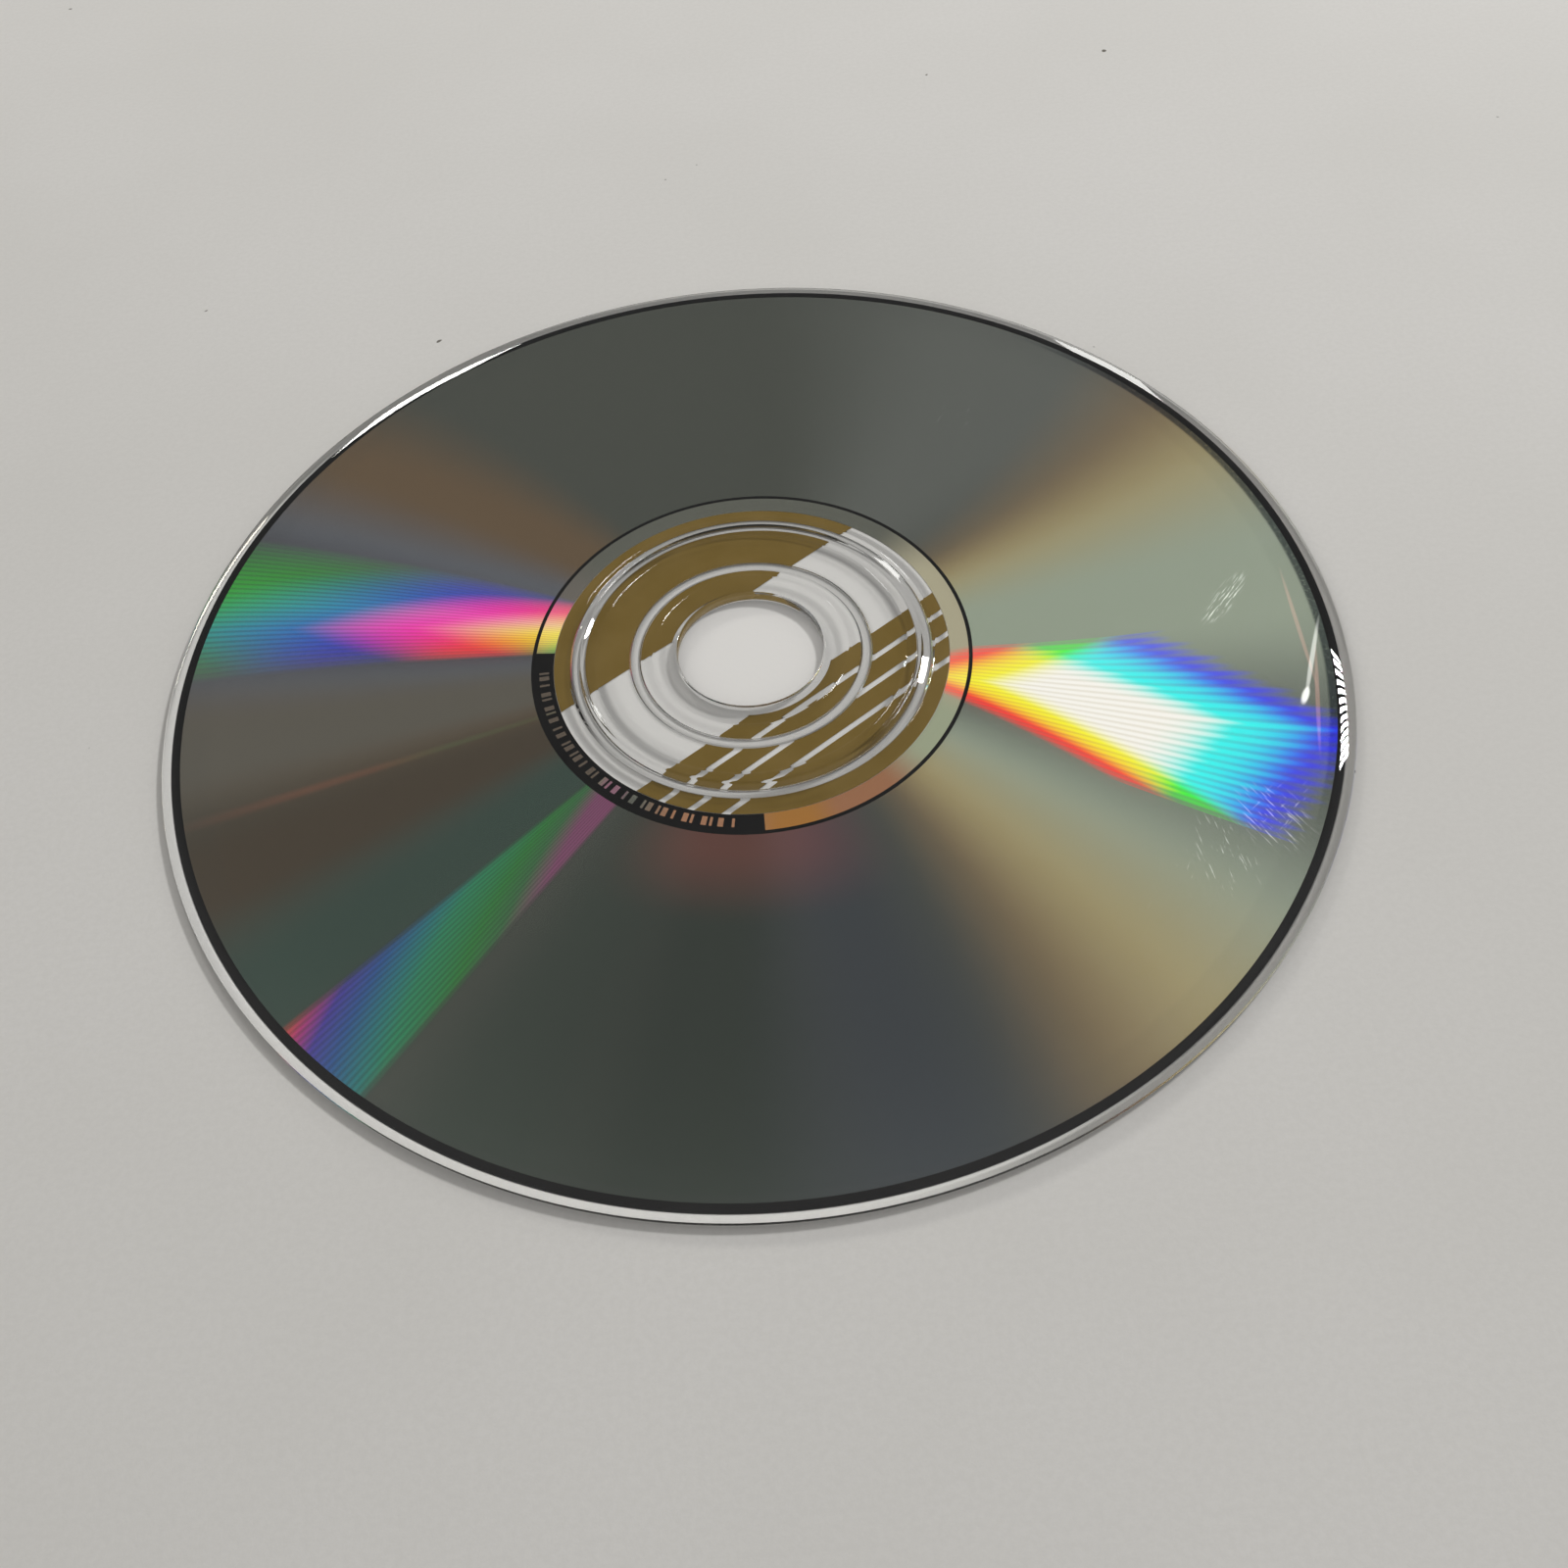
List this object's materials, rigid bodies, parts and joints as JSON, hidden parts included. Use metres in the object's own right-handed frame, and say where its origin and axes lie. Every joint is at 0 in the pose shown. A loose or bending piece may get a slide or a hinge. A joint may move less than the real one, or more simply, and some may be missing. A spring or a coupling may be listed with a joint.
{
  "type": "compact disc",
  "caption": "Flat optical disc with a centre hole, clear moulded hub and metallised recording ring, for storing data.",
  "frame": {"origin": "on the disc's axis at the underside of the printed label, which is the face it rests on", "axes": "+Z along the disc's axis, from the label side to the read side; the picture looks along +Y with +X to the right"},
  "size_m": [0.12, 0.12, 0.0015],
  "materials": {
    "clear_polycarbonate": "clear polished polycarbonate",
    "recording_film": "dark grey mirror with rainbow diffraction",
    "mirror_metal": "plain grey mirror",
    "black_ink": "satin black screen print",
    "ochre_ink": "satin ochre screen print"
  },
  "bodies": {
    "root": {"substrate": "clear_polycarbonate", "recording_layer": "recording_film", "mirror_band": "mirror_metal", "label_print": "black_ink", "hub_print": "ochre_ink"}
  },
  "joints": []
}
